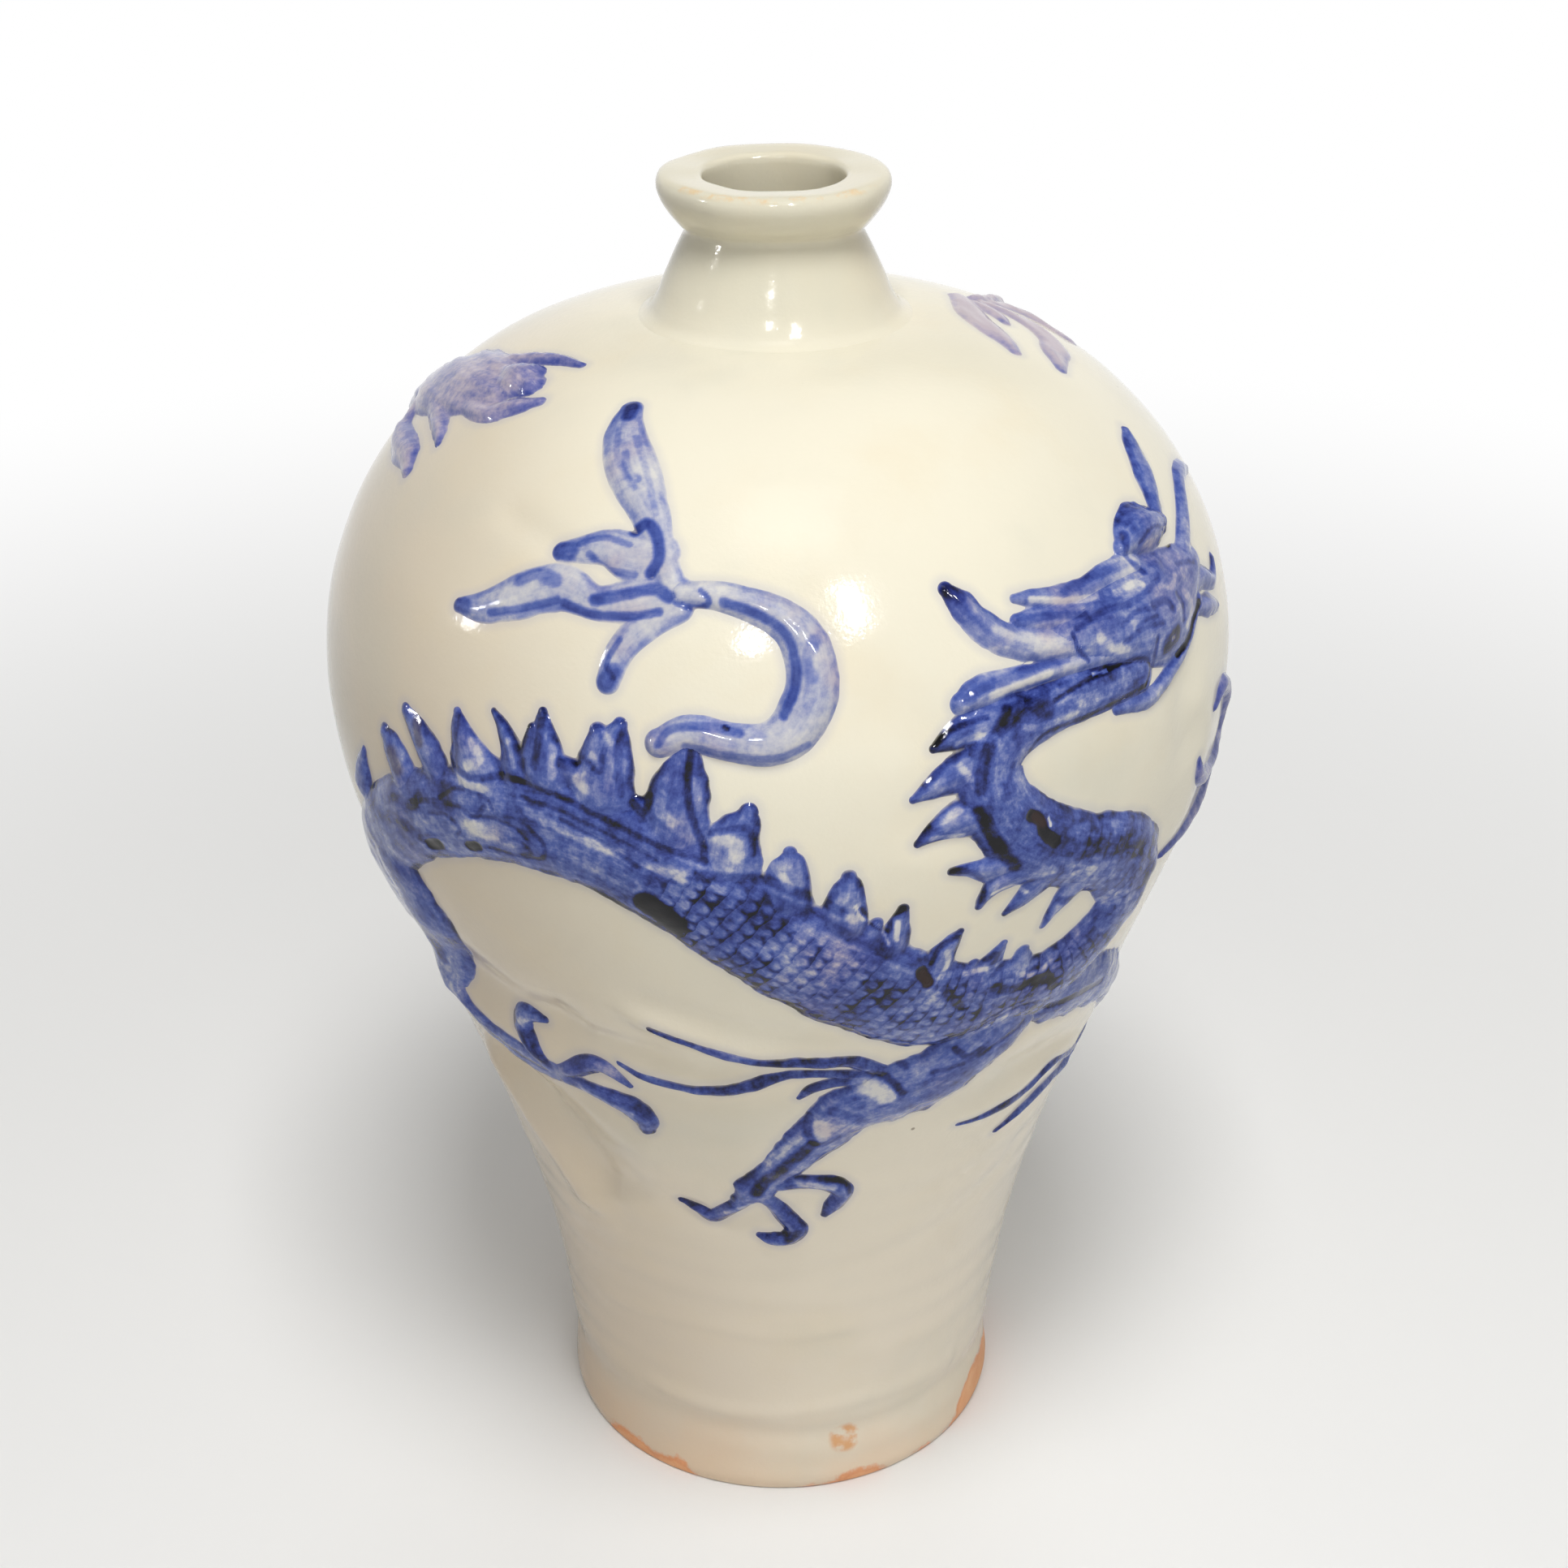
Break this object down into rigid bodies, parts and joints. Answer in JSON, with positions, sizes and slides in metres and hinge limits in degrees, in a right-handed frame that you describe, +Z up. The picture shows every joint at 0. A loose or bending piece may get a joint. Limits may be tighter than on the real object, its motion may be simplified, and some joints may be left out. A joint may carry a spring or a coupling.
{
  "type": "meiping vase",
  "caption": "Stoneware meiping vase with a narrow lipped mouth, high shoulders and a tapering body, with two coiling dragons in applied relief under a pale glaze.",
  "frame": {"origin": "centre of the resting face under the foot", "axes": "+Z up along the vase's axis, -Y towards the front, where the front dragon's body crosses the belly, +X to the right of that view"},
  "size_m": [0.2328, 0.237, 0.36],
  "materials": {
    "glazed_body": "glossy crackled glaze over stoneware",
    "cobalt_relief": "cobalt blue painted clay under a glossy glaze"
  },
  "bodies": {
    "root": {"lower_body": "glazed_body", "upper_body": "glazed_body", "neck": "glazed_body", "front_trunk": "cobalt_relief", "front_neck": "cobalt_relief", "front_head": "cobalt_relief", "front_mane": "cobalt_relief", "front_near_foreleg": "cobalt_relief", "front_far_foreleg": "cobalt_relief", "front_hind_leg": "cobalt_relief", "front_tail": "cobalt_relief", "front_ribbons": "cobalt_relief", "back_trunk": "cobalt_relief", "back_neck": "cobalt_relief", "back_head": "cobalt_relief", "back_near_foreleg": "cobalt_relief", "back_far_foreleg": "cobalt_relief", "back_hind_leg": "cobalt_relief", "back_tail": "cobalt_relief"}
  },
  "joints": []
}
